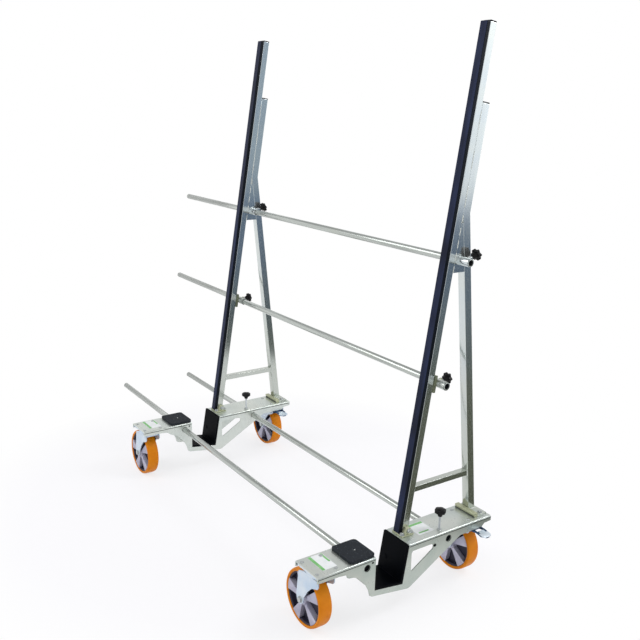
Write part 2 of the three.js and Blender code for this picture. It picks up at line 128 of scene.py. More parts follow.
class Shading:
    """A node tree that is built node by node."""

    def __init__(self, tree):
        self.tree = tree

    def node(self, kind, settings, inputs, output=0):
        made = self.tree.nodes.new(kind)
        for name, value in settings.items():
            setattr(made, name, value)
        for name, value in inputs.items():
            self.feed(made.inputs[name], value)
        return Value(self, made.outputs[output])

    def feed(self, socket, value):
        if isinstance(value, Value):
            self.tree.links.new(value.socket, socket)
        else:
            socket.default_value = value

    def spread(self, value, low, high, to_low=0.0, to_high=1.0, easing="LINEAR"):
        """Carries the range from low to high over to another range."""
        inputs = {"Value": value, "From Min": low, "From Max": high, "To Min": to_low, "To Max": to_high}
        return self.node("ShaderNodeMapRange", {"interpolation_type": easing}, inputs)

    def blend(self, factor, first, second):
        """A colour between two colours."""
        return self.node("ShaderNodeMix", {"data_type": "RGBA"}, {0: factor, 6: first, 7: second}, 2)

    def part(self, vector, axis):
        return self.node("ShaderNodeSeparateXYZ", {}, {0: vector}, axis)

    def reach(self, vector, direction):
        """How far a vector goes in a direction."""
        settings = {"operation": "DOT_PRODUCT"}
        return self.node("ShaderNodeVectorMath", settings, {0: vector, 1: direction}, "Value")


class Finish(Shading):
    """One material with its shader."""

    NOISE_ROUGHNESS = 0.55

    def __init__(self, name, roughness=0.5, metallic=0.0, **constants):
        self.material = bpy.data.materials.new(name)
        self.material.use_nodes = True
        super().__init__(self.material.node_tree)
        self.shader = self.tree.nodes["Principled BSDF"]
        self.shader.inputs["Roughness"].default_value = roughness
        self.shader.inputs["Metallic"].default_value = metallic
        for socket, value in constants.items():
            self.shader.inputs[socket.replace("_", " ")].default_value = value
        self.place = self.node("ShaderNodeTexCoord", {}, {}, "Object")

    def stretched(self, scale):
        return self.node("ShaderNodeMapping", {}, {"Vector": self.place, "Scale": scale})

    def noise(self, scale, detail, where=None):
        inputs = {"Vector": where or self.place, "Scale": scale, "Detail": detail}
        inputs["Roughness"] = self.NOISE_ROUGHNESS
        return self.node("ShaderNodeTexNoise", {}, inputs, "Fac")

    def cells(self, scale, output):
        return self.node("ShaderNodeTexVoronoi", {}, {"Vector": self.place, "Scale": scale}, output)

    def color(self, value):
        self.feed(self.shader.inputs["Base Color"], value)

    def roughness(self, value):
        self.feed(self.shader.inputs["Roughness"], value)

    def bump(self, height, strength, distance):
        inputs = {"Height": height, "Strength": strength, "Distance": distance}
        self.feed(self.shader.inputs["Normal"], self.node("ShaderNodeBump", {}, inputs, "Normal"))

    def mix_surface(self, share, first, second):
        """Ends the material in a mix of two shaders."""
        mixed = self.node("ShaderNodeMixShader", {}, {0: share, 1: first, 2: second})
        self.feed(self.tree.nodes["Material Output"].inputs["Surface"], mixed)


def plated_steel(name, deck_lit_tones, cheek_shade_tones):
    """Folded sheet with painted light: the deck is painted a little lighter than the cheeks, which take
    painted shade.
    """
    finish = Finish(name, metallic=0.75)
    cloud = finish.noise(7.0, 4.0)
    grain = finish.noise(160.0, 2.0)
    rolled = finish.noise(24.0, 4.0, finish.stretched((1.0, 6.0, 1.0)))
    tint = finish.spread(cloud, 0.35, 0.68)
    fold_low = DECK_TOP - 0.008
    fold_high = DECK_TOP - 0.004
    # Painted light and shade: above the fold the deck takes the lighter tones, below it the cheeks take the
    # darker ones.
    lit_deck = finish.spread(finish.part(finish.place, "Z"), fold_low, fold_high)
    base = finish.blend(lit_deck, finish.blend(tint, *cheek_shade_tones), finish.blend(tint, *deck_lit_tones))
    base = finish.blend(finish.spread(rolled, 0.5, 0.8, 0.0, 0.35), base, linear(178, 187, 180))
    finish.color(base)
    finish.roughness(0.2 + 0.14 * rolled + 0.06 * grain)
    finish.bump(grain + 0.6 * rolled, 0.05, 0.0006)
    return finish.material


def plated_tube():
    """Square tube with painted shade: a little darker and more olive toward the floor."""
    finish = Finish("plated_tube", metallic=0.9)
    streak = finish.noise(70.0, 3.0, finish.stretched((1.0, 1.0, 0.05)))
    cloud = finish.noise(9.0, 3.0)
    upper = finish.blend(finish.spread(cloud, 0.35, 0.7), linear(204, 212, 216), linear(213, 218, 215))
    # Painted shade: below these heights the base colour turns darker and more olive.
    painted_shade_up_to = 0.4
    unshaded_from = 0.95
    above_painted_shade = finish.spread(finish.part(finish.place, "Z"), painted_shade_up_to, unshaded_from)
    base = finish.blend(above_painted_shade, linear(190, 195, 188), upper)
    base = finish.blend(finish.spread(streak, 0.52, 0.8, 0.0, 0.3), base, linear(194, 201, 203))
    finish.color(base)
    finish.roughness(0.1 + 0.08 * streak)
    finish.bump(streak, 0.02, 0.0005)
    return finish.material


def drawn_bar():
    finish = Finish("drawn_bar", metallic=0.85)
    streak = finish.noise(120.0, 3.0, finish.stretched((0.02, 1.0, 1.0)))
    smear = finish.noise(6.0, 3.0)
    base = finish.blend(finish.spread(streak, 0.35, 0.7), linear(196, 201, 197), linear(162, 167, 163))
    base = finish.blend(finish.spread(smear, 0.55, 0.75, 0.0, 0.3), base, linear(178, 182, 170))
    finish.color(base)
    finish.roughness(0.16 + 0.16 * streak)
    finish.bump(streak, 0.05, 0.0004)
    return finish.material


def blue_zinc():
    finish = Finish("blue_zinc", metallic=0.5)
    cloud = finish.noise(16.0, 4.0)
    grain = finish.noise(220.0, 2.0)
    base = finish.blend(finish.spread(cloud, 0.35, 0.65), linear(184, 204, 224), linear(212, 222, 230))
    finish.color(base)
    finish.roughness(0.26 + 0.18 * cloud)
    finish.bump(grain, 0.05, 0.0005)
    return finish.material


def bright_zinc():
    finish = Finish("bright_zinc", metallic=0.7)
    cloud = finish.noise(60.0, 3.0)
    finish.color(finish.blend(cloud, linear(198, 202, 200), linear(168, 174, 176)))
    finish.roughness(0.2 + 0.22 * cloud)
    return finish.material


def stud_steel():
    finish = Finish("stud_steel", metallic=0.8)
    cloud = finish.noise(80.0, 3.0)
    finish.color(finish.blend(cloud, linear(168, 174, 178), linear(198, 203, 205)))
    finish.roughness(0.24 + 0.2 * cloud)
    return finish.material


def weld_metal():
    finish = Finish("weld_metal", metallic=0.55)
    ripple = finish.noise(320.0, 2.0)
    finish.color(finish.blend(ripple, linear(196, 200, 196), linear(222, 225, 220)))
    finish.roughness(0.34 + 0.2 * ripple)
    finish.bump(ripple, 0.2, 0.0008)
    return finish.material


def post_rubber(name, dark, pale):
    finish = Finish(name, Specular_IOR_Level=0.14)
    smear = finish.noise(26.0, 4.0, finish.stretched((1.0, 1.0, 0.18)))
    grain = finish.noise(420.0, 2.0)
    finish.color(finish.blend(finish.spread(smear, 0.35, 0.75), dark, pale))
    finish.roughness(0.34 + 0.22 * smear)
    finish.bump(grain + smear, 0.08, 0.0006)
    return finish.material


def well_rubber():
    finish = Finish("well_rubber", Specular_IOR_Level=0.05)
    dust = finish.noise(18.0, 5.0)
    grain = finish.noise(380.0, 2.0)
    finish.color(finish.blend(finish.spread(dust, 0.5, 0.8), linear(2, 4, 8), linear(9, 11, 17)))
    finish.roughness(0.42 + 0.25 * dust)
    finish.bump(grain, 0.12, 0.0006)
    return finish.material


def granule_rubber():
    finish = Finish("granule_rubber", Specular_IOR_Level=0.2)
    crumbs = 420.0
    fleck = finish.node("ShaderNodeSeparateColor", {}, {"Color": finish.cells(crumbs, "Color")}, "Red")
    base = finish.blend(fleck, linear(24, 28, 33), linear(40, 45, 52))
    base = finish.blend(finish.spread(fleck, 0.96, 0.98), base, linear(74, 80, 88))
    finish.color(base)
    finish.roughness(0.66 + 0.2 * fleck)
    finish.bump(finish.cells(crumbs, "Distance"), 0.35, 0.0012)
    return finish.material


def moulded_plastic():
    finish = Finish("moulded_plastic", Specular_IOR_Level=0.2)
    grain = finish.noise(500.0, 2.0)
    wear = finish.noise(40.0, 3.0)
    finish.color(finish.blend(finish.spread(wear, 0.5, 0.8), linear(8, 8, 11), linear(20, 20, 24)))
    finish.roughness(0.36 + 0.16 * wear)
    finish.bump(grain, 0.08, 0.0004)
    return finish.material


def cast_tyre():
    finish = Finish("cast_tyre", Specular_IOR_Level=0.15)
    cloud = finish.noise(22.0, 3.0)
    scuff = finish.noise(90.0, 4.0, finish.stretched((1.0, 0.2, 1.0)))
    base = finish.blend(finish.spread(cloud, 0.3, 0.7), linear(201, 114, 0), linear(214, 129, 5))
    base = finish.blend(finish.spread(scuff, 0.55, 0.8, 0.0, 0.35), base, linear(184, 102, 6))
    finish.color(base)
    finish.roughness(0.34 + 0.22 * scuff)
    finish.bump(scuff, 0.06, 0.0008)
    return finish.material


def cast_rim():
    finish = Finish("cast_rim", metallic=0.45)
    sand = finish.noise(300.0, 3.0)
    cloud = finish.noise(30.0, 3.0)
    finish.color(finish.blend(finish.spread(cloud, 0.35, 0.7), linear(164, 163, 182), linear(190, 189, 204)))
    finish.roughness(0.36 + 0.2 * sand)
    finish.bump(sand, 0.14, 0.0008)
    return finish.material


# Painted shade: the dark colour of the rim's recessed ring and of the web between the spokes.
def rim_pocket():
    finish = Finish("rim_pocket", metallic=0.1)
    sand = finish.noise(260.0, 3.0)
    finish.color(finish.blend(sand, linear(26, 25, 42), linear(44, 42, 62)))
    finish.roughness(0.5 + 0.2 * sand)
    finish.bump(sand, 0.2, 0.0008)
    return finish.material


def pedal_zinc():
    finish = Finish("pedal_zinc", metallic=0.7)
    cloud = finish.noise(34.0, 3.0)
    finish.color(finish.blend(finish.spread(cloud, 0.35, 0.7), linear(34, 58, 88), linear(66, 98, 132)))
    finish.roughness(0.28 + 0.18 * cloud)
    return finish.material


def olive_zinc(name, dark, pale):
    """Olive plating, grey on the plate behind the stop bar."""
    finish = Finish(name, metallic=0.6)
    cloud = finish.noise(26.0, 4.0)
    tint = finish.spread(cloud, 0.35, 0.7)
    plate = finish.blend(tint, linear(186, 194, 186), linear(202, 206, 196))
    bar_back = 0.3265
    plate_front = 0.3285
    behind_bar = finish.spread(finish.part(finish.place, "Y"), bar_back, plate_front)
    finish.color(finish.blend(behind_bar, finish.blend(tint, dark, pale), plate))
    finish.roughness(0.3 + 0.2 * cloud)
    finish.bump(cloud, 0.05, 0.0006)
    return finish.material


def joint_shadow():
    finish = Finish("joint_shadow", metallic=0.3)
    fill = finish.noise(90.0, 3.0)
    finish.color(finish.blend(fill, linear(66, 71, 64), linear(94, 99, 90)))
    finish.roughness(0.5 + 0.2 * fill)
    return finish.material


def sticker_film(name, first, second):
    finish = Finish(name, Coat_Weight=0.2)
    fade = finish.noise(50.0, 3.0)
    finish.color(finish.blend(finish.spread(fade, 0.35, 0.7), first, second))
    finish.roughness(0.34 + 0.1 * fade)
    return finish.material


# The left frame's copy of the plated steel is painted lighter all over, as painted light.
PLATES = {
    "right": plated_steel("plated_steel", (linear(197, 206, 203), linear(210, 214, 208)),
                          (linear(176, 186, 179), linear(190, 195, 187))),
    "left": plated_steel("plated_steel_light", (linear(206, 214, 209), linear(218, 222, 214)),
                         (linear(202, 210, 205), linear(213, 217, 210))),
}
TUBE = plated_tube()
BAR = drawn_bar()
BLUE = blue_zinc()
BOLT = bright_zinc()
STUD = stud_steel()
WELD = weld_metal()
FACING = post_rubber("post_rubber", linear(13, 19, 40), linear(34, 45, 78))
# The facing's two sides get this darker copy of the rubber as painted shade.
FACING_PAINTED_SHADE = post_rubber("post_rubber_side", linear(3, 8, 16), linear(9, 17, 31))
LINING = well_rubber()
PAD = granule_rubber()
PLASTIC = moulded_plastic()
TYRE = cast_tyre()
RIM = cast_rim()
POCKET_SHADE = rim_pocket()
LEVER = pedal_zinc()
OLIVE = olive_zinc("olive_zinc", linear(174, 178, 148), linear(192, 195, 166))
BRACKET = olive_zinc("olive_zinc_dark", linear(112, 118, 97), linear(138, 143, 119))
JOINT_SHADOW = joint_shadow()
PAPER = sticker_film("sticker_white", linear(236, 238, 240), linear(224, 230, 230))
GREEN = sticker_film("sticker_green", linear(98, 176, 92), linear(132, 194, 124))


# Mesh helpers

WELDING_DISTANCE = 1e-6
SOLID_WELDING_DISTANCE = 2e-6
FLAT_BEND = math.radians(1)
GENTLE_BEND = math.radians(2)
SHARP_BEND = math.radians(32)


def piece(name, shape, body, material, crease=40, replaces=(), keep_flat=False):
    """Turns a bmesh into a piece that rides on a body, smooth up to a crease angle in degrees.

    With keep_flat, faces that are flat in the bmesh stay flat.
    """
    bmesh.ops.remove_doubles(shape, verts=shape.verts, dist=WELDING_DISTANCE)
    bmesh.ops.recalc_face_normals(shape, faces=shape.faces)
    mesh = bpy.data.meshes.new(name)
    shape.to_mesh(mesh)
    shape.free()
    materials = material if isinstance(material, tuple) else (material,)
    for each in materials:
        mesh.materials.append(each)
    if not keep_flat:
        mesh.shade_smooth()
    is_smooth = [face.use_smooth for face in mesh.polygons]
    mesh.set_sharp_from_angle(angle=math.radians(crease))
    for face, smooth in zip(mesh.polygons, is_smooth):
        face.use_smooth = smooth
    made = bpy.data.objects.new(name, mesh)
    bpy.context.collection.objects.link(made)
    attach(made, body)
    if replaces:
        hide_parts(*replaces)
    return made


def spun(shape, profile, axis, centre, steps):
    """Turns a closed profile of (radius, height) round an axis."""
    along = Vector(axis).normalized()
    out = along.orthogonal().normalized()
    centre = Vector(centre)
    points = [shape.verts.new(centre + out * radius + along * height) for radius, height in profile]
    edges = [shape.edges.new(pair) for pair in zip(points, points[1:] + points[:1])]
    bmesh.ops.spin(shape, geom=points + edges, cent=centre, axis=along, angle=2 * math.pi, steps=steps,
                   use_merge=True, use_duplicate=False)
    bmesh.ops.remove_doubles(shape, verts=shape.verts, dist=WELDING_DISTANCE)
    return shape


def rod(shape, radius, start, end, axis, centre):
    """A plain round rod between two places along an axis."""
    return spun(shape, [(0.0, start), (radius, start), (radius, end), (0.0, end)], axis, centre, steps=40)


def slab(shape, outline, thickness, matrix, bevel=0.0, segments=2):
    """Extrudes a flat outline by a thickness along its own +Z, rounds its edges and places it."""
    corners = [shape.verts.new((u, v, 0)) for u, v in outline]
    face = shape.faces.new(corners)
    risen = bmesh.ops.extrude_face_region(shape, geom=[face])["geom"]
    top = [item for item in risen if isinstance(item, bmesh.types.BMVert)]
    bmesh.ops.translate(shape, verts=top, vec=(0, 0, thickness))
    verts = corners + top
    if bevel:
        edges = {edge for vert in verts for edge in vert.link_edges}
        rounded = bmesh.ops.bevel(shape, geom=list(edges), offset=bevel, affect="EDGES", segments=segments,
                                  profile=0.5, material=-1, clamp_overlap=True)
        kept = {vert for vert in verts if vert.is_valid}
        verts = linked(kept | {vert for face in rounded["faces"] for vert in face.verts})
    bmesh.ops.transform(shape, matrix=matrix, verts=verts)
    return shape


def linked(verts):
    """All vertices joined to these by edges."""
    seen = set(verts)
    waiting = list(verts)
    while waiting:
        for edge in waiting.pop().link_edges:
            for vert in edge.verts:
                if vert not in seen:
                    seen.add(vert)
                    waiting.append(vert)
    return list(seen)


def rectangle(half_u, half_v):
    return [(-half_u, -half_v), (half_u, -half_v), (half_u, half_v), (-half_u, half_v)]


def ring_outline(radius, count):
    angles = [2 * math.pi * step / count for step in range(count)]
    return [(radius * math.cos(angle), radius * math.sin(angle)) for angle in angles]


def rounded_outline(half_x, half_y, radius):
    points = []
    steps = 3
    for corner, (sign_x, sign_y) in enumerate(((1, 1), (-1, 1), (-1, -1), (1, -1))):
        for step in range(steps + 1):
            angle = (corner + step / steps) * math.pi / 2
            points.append((sign_x * (half_x - radius) + radius * math.cos(angle),
                           sign_y * (half_y - radius) + radius * math.sin(angle)))
    return points


def mirrored(profile):
    """Half a profile, closed by its mirror image across the middle."""
    return profile + [(first, -second) for first, second in reversed(profile)]


def pointing(direction, place):
    """A matrix that carries +Z to a direction at a place."""
    return Matrix.Translation(place) @ Vector(direction).to_track_quat("Z", "Y").to_matrix().to_4x4()


def softened(node, material, width, segments=3, fold=0.0):
    """A copy of a solid with its sharp edges rounded, which stands for the solid.

    Both frames start from the right one's solid, so that their pieces come out equal.
    """
    shape = bmesh.new()
    shape.from_mesh(frame["nodes"][node.replace("left_", "right_")].data)
    bmesh.ops.remove_doubles(shape, verts=shape.verts, dist=SOLID_WELDING_DISTANCE)
    bmesh.ops.dissolve_limit(shape, angle_limit=FLAT_BEND, verts=shape.verts, edges=shape.edges)
    for face in shape.faces:
        face.smooth = any(is_gentle(edge) for edge in face.edges)
    if fold:
        round_off(shape, [edge for edge in sharp_edges(shape) if is_deck_fold(edge)], fold, segments=5)
    round_off(shape, sharp_edges(shape), width, segments)
    if node.startswith("left_"):
        bmesh.ops.translate(shape, vec=(FRAME_X["left"] - FRAME_X["right"], 0, 0), verts=shape.verts)
    return piece(node + "_skin", shape, NODE_BODY[node], material, replaces=(node,), keep_flat=True)


def round_off(shape, edges, width, segments):
    """Rounds edges; only the new narrow faces become smooth, so flat faces stay flat."""
    rounded = bmesh.ops.bevel(shape, geom=edges, offset=width, affect="EDGES", segments=segments, profile=0.5,
                              material=-1, clamp_overlap=True, loop_slide=True)
    for face in rounded["faces"]:
        face.smooth = True


def bend_angle(edge):
    return edge.calc_face_angle(0) if len(edge.link_faces) == 2 else 0.0


def is_gentle(edge):
    """Whether an edge lies within a curved surface."""
    return GENTLE_BEND < bend_angle(edge) < SHARP_BEND


def sharp_edges(shape):
    return [edge for edge in shape.edges if bend_angle(edge) > SHARP_BEND]


def is_deck_fold(edge):
    """Whether an edge is a long bend between the deck and a cheek."""
    near = 0.0005
    shortest_fold = 0.1
    start, end = (vert.co for vert in edge.verts)
    level = abs(start.z - DECK_TOP) < near and abs(end.z - DECK_TOP) < near
    return level and abs(start.y - end.y) > shortest_fold and abs(start.x - end.x) < near


def leaned(behind, up):
    """Depth behind the facing's front and distance up the post, as (y, z)."""
    return (behind * math.cos(LEAN) + up * math.sin(LEAN),
            DECK_TOP - behind * math.sin(LEAN) + up * math.cos(LEAN))


def hex_bolt(shape, place, direction, across, height, washer):
    """A washer with a chamfered six-sided head on it."""
    washer_edge = 0.0012
    washer_top = 0.0017
    head_from = 0.0015
    head_chamfer = 0.0007
    direction = Vector(direction).normalized()
    flat = washer - (washer_top - washer_edge)
    profile = [(0.0, 0.0), (washer, 0.0), (washer, washer_edge), (flat, washer_top), (0.0, washer_top)]
    spun(shape, profile, direction, place, steps=32)
    head = pointing(direction, Vector(place) + direction * head_from)
    slab(shape, ring_outline(across / math.sqrt(3), 6), height, head, head_chamfer)


def dome_bolt(shape, place, direction, radius, height):
    """A low rounded head."""
    edge = 0.0012
    steps = 6
    profile = [(0.0, 0.0), (radius, 0.0), (radius, edge)]
    for step in range(1, steps):
        angle = step / steps * math.pi / 2
        profile.append((radius * math.cos(angle), edge + (height - edge) * math.sin(angle)))
    profile.append((0.0, height))
    spun(shape, profile, direction, place, steps=32)


def bead(shape, start, end, radius):
    """A weld bead: a low ridge from overlapping drops."""
    pitch = 0.004
    drop_stretch = 1.9
    start = Vector(start)
    run = Vector(end) - start
    count = max(2, round(run.length / pitch))
    turn = run.normalized().to_track_quat("X", "Z").to_matrix().to_4x4()
    stretch = Matrix.Diagonal((drop_stretch, 1.0, 1.0, 1.0))
    for index in range(count + 1):
        drop = bmesh.ops.create_icosphere(shape, subdivisions=1, radius=radius)
        matrix = Matrix.Translation(start + run * (index / count)) @ turn @ stretch
        bmesh.ops.transform(shape, matrix=matrix, verts=drop["verts"])


# Bars

def make_bar(name):
    wall = 0.002
    chamfer = 0.0006
    bung_gap = 0.0001
    bung_length = 0.006
    bung_depth = 0.004
    lid_margin = 0.0002
    lid_height = 0.0012
    low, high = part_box(name)
    start = low[0]
    end = high[0]
    line = (0, *bar_line(name))
    outer = (high[1] - low[1]) / 2
    inner = outer - wall
    tube = spun(bmesh.new(), [
        (inner, start), (outer - chamfer, start), (outer, start + chamfer),
        (outer, end - chamfer), (outer - chamfer, end), (inner, end),
    ], X_AXIS, line, steps=48)
    piece(name + "_tube", tube, name, BAR, crease=50, replaces=(name,))
    # Painted shade: black plugs inside both ends, and a black lid on the lower bars' right ends, stand for
    # the dark bore of the tube.
    shade_plugs = bmesh.new()
    for bung in (start + bung_depth, end - bung_depth - bung_length):
        rod(shade_plugs, inner - bung_gap, bung, bung + bung_length, X_AXIS, line)
    if "lower" in name:
        rod(shade_plugs, outer - lid_margin, end - lid_margin, end + lid_height, X_AXIS, line)
    piece(name + "_bungs", shade_plugs, name, LINING, crease=35)


# Star knobs

# Each knob: its tilt in degrees, where its stud and its head start along its axis, and the depth of its lobes
KNOBS = {
    "top_knob": (20, 0.0124, 0.034, 0.0024),
    "middle_knob": (4, 0.0124, 0.034, 0.0024),
    "deck_knob": (90, -0.010, 0.081, 0.0008),
}
KNOB_LOBES = 6
KNOB_RADIUS = 0.0196
# Turned profiles as (radius, height above the start of the head)
KNOB_NECK = ((0.0, 0.0), (0.0068, 0.0), (0.0076, 0.001), (0.0096, 0.009), (0.0132, 0.0142), (0.0132, 0.016),
             (0.0, 0.016))
KNOB_DOME = ((0.0, 0.0250), (0.0136, 0.0250), (0.0128, 0.0268), (0.0095, 0.0283), (0.0045, 0.0289),
             (0.0, 0.0290))


def star_outline(lobe_depth):
    points = []
    count = 96
    for step in range(count):
        angle = 2 * math.pi * step / count
        radius = KNOB_RADIUS - lobe_depth * (1 - math.cos(KNOB_LOBES * angle))
        points.append((radius * math.cos(angle), radius * math.sin(angle)))
    return points


def threaded_stud(start, end):
    """The profile of a stud with a cut thread, from its tip to a short way into the head."""
    tip = 0.003
    root = 0.0034
    crest = 0.0039
    shank = 0.0038
    pitch = 0.0013
    tip_length = 0.0008
    runout = 0.002
    into_head = 0.001
    profile = [(0.0, start), (tip, start)]
    thread = start + tip_length
    while thread < end - runout:
        profile += [(crest, thread), (root, thread + pitch / 2)]
        thread += pitch
    return profile + [(shank, end), (shank, end + into_head), (0.0, end + into_head)]


def make_knob(side, name):
    tilt, stud_from, head_from, lobe_depth = KNOBS[name]
    star_from = 0.0135
    star_thickness = 0.012
    star_round = 0.0036
    node = side + "_" + name
    centre = Vector(pivot(node + "_turn"))
    along = Vector((0, math.cos(math.radians(tilt)), math.sin(math.radians(tilt))))
    grip = bmesh.new()
    star = pointing(along, centre + along * (head_from + star_from))
    slab(grip, star_outline(lobe_depth), star_thickness, star, star_round, segments=4)
    for profile in (KNOB_NECK, KNOB_DOME):
        raised = [(radius, head_from + height) for radius, height in profile]
        spun(grip, raised, along, centre, steps=40)
    piece(node + "_grip", grip, node, PLASTIC, crease=35, replaces=(node,))
    stud = spun(bmesh.new(), threaded_stud(stud_from, head_from), along, centre, steps=24)
    piece(node + "_stud", stud, node, STUD, crease=60)


# Casters

# Turned profiles as (radius, distance from the wheel's middle plane), one half of each
TYRE_SHOULDER = [(0.0884, -0.0226), (0.0932, -0.0248), (0.0960, -0.0244), (0.0979, -0.0226),
                 (0.0988, -0.0196)]
TREAD_HALF_WIDTH = 0.0150
TREAD_CROWN = 0.0002
RIM_RING = [(0.0818, -0.0060), (0.0820, -0.0190), (0.0874, -0.0212), (0.0882, -0.0204)]
RIM_DISC = [(0.0195, -0.0075), (0.0825, -0.0050)]
RIM_HUB = [(0.0069, -0.0275), (0.0180, -0.0275), (0.0198, -0.0262), (0.0212, -0.0205)]
SPOKE_COUNT = 5
SPOKE_TURN = 0.5
SPOKE_WIDTH = 0.0470
SPOKE_ROUND = 0.0012
# One side of a spoke as (radius, angle from its middle)
SPOKE_SIDE = [(0.0185, 0.40), (0.0300, 0.27), (0.0500, 0.245), (0.0874, 0.242)]
# The bearing cup as (radius, height above the floor)
BEARING_CUP = [(0.0320, 0.2108), (0.0385, 0.2125), (0.0402, 0.2150), (0.0402, 0.2195), (0.0390, 0.2215),
               (0.0320, 0.2215)]
PLATE_BOLT_X = 0.042
PLATE_BOLT_Y = 0.036
PLATE_THICKNESS = 0.005
# Half of the pedal's tab as (distance along the pedal, distance aside)
PEDAL_TAB = [(0.0005, -0.0125), (0.0125, -0.0125), (0.0140, -0.0215), (0.0300, -0.0215), (0.0375, -0.0150),
             (0.0385, -0.0120)]


def spoke_outline(turn):
    """A spoke that widens toward the hub and ends in an arc at the rim."""
    arc_steps = 6
    rim, half = SPOKE_SIDE[-1]
    arc = [(rim, half - 2 * half * step / arc_steps) for step in range(1, arc_steps)]
    path = SPOKE_SIDE + arc + [(radius, -angle) for radius, angle in reversed(SPOKE_SIDE)]
    return [(radius * math.cos(turn + angle), radius * math.sin(turn + angle)) for radius, angle in path]


def make_wheel(name):
    body = name + "_wheel"
    centre = Vector(pivot(name + "_wheel_spin"))
    tread = mirrored(TYRE_SHOULDER + [(centre.z + TREAD_CROWN, -TREAD_HALF_WIDTH)])
    tyre = spun(bmesh.new(), tread, Y_AXIS, centre, steps=96)
    piece(name + "_tread", tyre, body, TYRE, crease=50, replaces=(name + "_wheel_tyre",))
    # The dark ring and web are painted shade in the wheel's recesses.
    dark = bmesh.new()
    spun(dark, mirrored(RIM_RING), Y_AXIS, centre, steps=96)
    spun(dark, mirrored(RIM_DISC), Y_AXIS, centre, steps=64)
    piece(name + "_pockets", dark, body, POCKET_SHADE, crease=35)
    light = bmesh.new()
    spun(light, mirrored(RIM_HUB), Y_AXIS, centre, steps=64)
    far_side = pointing(-Y_AXIS, centre + Y_AXIS * SPOKE_WIDTH / 2)
    for index in range(SPOKE_COUNT):
        turn = 2 * math.pi * index / SPOKE_COUNT + SPOKE_TURN
        slab(light, spoke_outline(turn), SPOKE_WIDTH, far_side, SPOKE_ROUND)
    piece(name + "_spokes", light, body, RIM, crease=35, replaces=(name + "_wheel_rim",))


def make_axle(name):
    radius = 0.006
    overhang = 0.002
    seat = 0.0002
    low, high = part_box(name + "_caster_fork")
    leg = (high[1] - low[1]) / 2
    centre = Vector(pivot(name + "_wheel_spin"))
    bolt = rod(bmesh.new(), radius, -leg - overhang, leg + overhang, Y_AXIS, centre)
    for sign in (-1, 1):
        outward = Y_AXIS * sign
        hex_bolt(bolt, centre + outward * (leg + seat), outward, across=0.017, height=0.0052, washer=0.0112)
    node = name + "_wheel_axle"
    piece(name + "_axle_bolt", bolt, NODE_BODY[node], BOLT, crease=35, replaces=(node,))


def make_caster_head(side, name):
    body = side + "_frame"
    x, y, _ = pivot(name + "_caster_swivel")
    softened(name + "_caster_head", BLUE, width=0.0008, segments=2)
    cup = spun(bmesh.new(), BEARING_CUP, Z_AXIS, (x, y, 0), steps=64)
    piece(name + "_bearing_cup", cup, body, BLUE, crease=35)
    plate_under = DECK_TOP - DECK_SHEET - SEAT_GAP - PLATE_THICKNESS
    heads = bmesh.new()
    nuts = bmesh.new()
    for bolt_x in (x - PLATE_BOLT_X, x + PLATE_BOLT_X):
        for bolt_y in (y - PLATE_BOLT_Y, y + PLATE_BOLT_Y):
            dome_bolt(heads, (bolt_x, bolt_y, DECK_TOP), Z_AXIS, radius=0.0068, height=0.0022)
            hex_bolt(nuts, (bolt_x, bolt_y, plate_under), -Z_AXIS, across=0.013, height=0.0065, washer=0.0105)
    piece(name + "_plate_bolts", heads, body, BOLT)
    piece(name + "_plate_nuts", nuts, body, BOLT)


def make_pedal(side):
    tab_from = 0.034
    tab_rise = 0.0085
    tab_run = 0.038
    tab_fall = 0.0072
    tab_thickness = 0.0016
    tab_round = 0.0006
    node = side + "_rear_brake_pedal"
    softened(node, LEVER, width=0.001, segments=2)
    start = Vector(pivot(side + "_rear_brake")) + Vector((tab_from, 0, tab_rise))
    slope = Vector((tab_run, 0, -tab_fall)).normalized()
    normal = slope.cross(-Y_AXIS).normalized()
    turn = Matrix((slope, normal.cross(slope), normal)).transposed().to_4x4()
    place = Matrix.Translation(start) @ turn
    tab = slab(bmesh.new(), mirrored(PEDAL_TAB), tab_thickness, place, tab_round)
    piece(side + "_pedal_tab", tab, NODE_BODY[node], BLUE)


def make_caster(side, end):
    name = side + "_" + end
    make_caster_head(side, name)
    softened(name + "_caster_fork", BLUE, width=0.0012, segments=2)
    make_wheel(name)
    make_axle(name)
    if end == "rear":
        make_pedal(side)


# Frames

DECK_FOLD = 0.0042
# Each sticker: centre x and y, half sizes, and its bands as (x, y, half x, half y) from the centre
STICKERS = (
    (-0.010, -0.309, 0.044, 0.028, ((0.0, -0.022, 0.043, 0.0055), (-0.016, 0.0225, 0.026, 0.0035))),
    (-0.004, 0.098, 0.036, 0.034, ((-0.029, 0.0, 0.0055, 0.033), (0.024, -0.004, 0.0035, 0.022))),
)
STICKER_COUNT = {"right": 2, "left": 1}
# Heights between which the web, and above it the strut, is welded to the post
SEAM_WELDS = (
    (1.13, 1.148), (1.17, 1.19), (1.21, 1.23), (1.25, 1.27),
    (1.29, 1.31), (1.34, 1.40), (1.46, 1.51), (1.58, 1.63),
)
SEAM_BEAD = 0.0018
BRACE_BEAD = 0.0022
STRUT_BEAD = 0.0024
# From y to y along each side of the post's foot
POST_FOOT_WELD = (0.012, 0.040)
STRUT_FRONT = 0.3278
STRUT_DEPTH = 0.0302
STRUT_FALL = 0.1217
# Where the painted joint shadows run, from y to y along the arm and along the deck
JOINT_SHADOW_RUNS = ((-0.3745, -0.1490), (-0.0045, 0.3745))
FOOT_BOLTS = ((0.0065, 0.0075), (0.0065, 0.0465), (-0.044, 0.348), (0.033, 0.348))
RIB_BOLT = (0.013, 0.031, 0.2585)
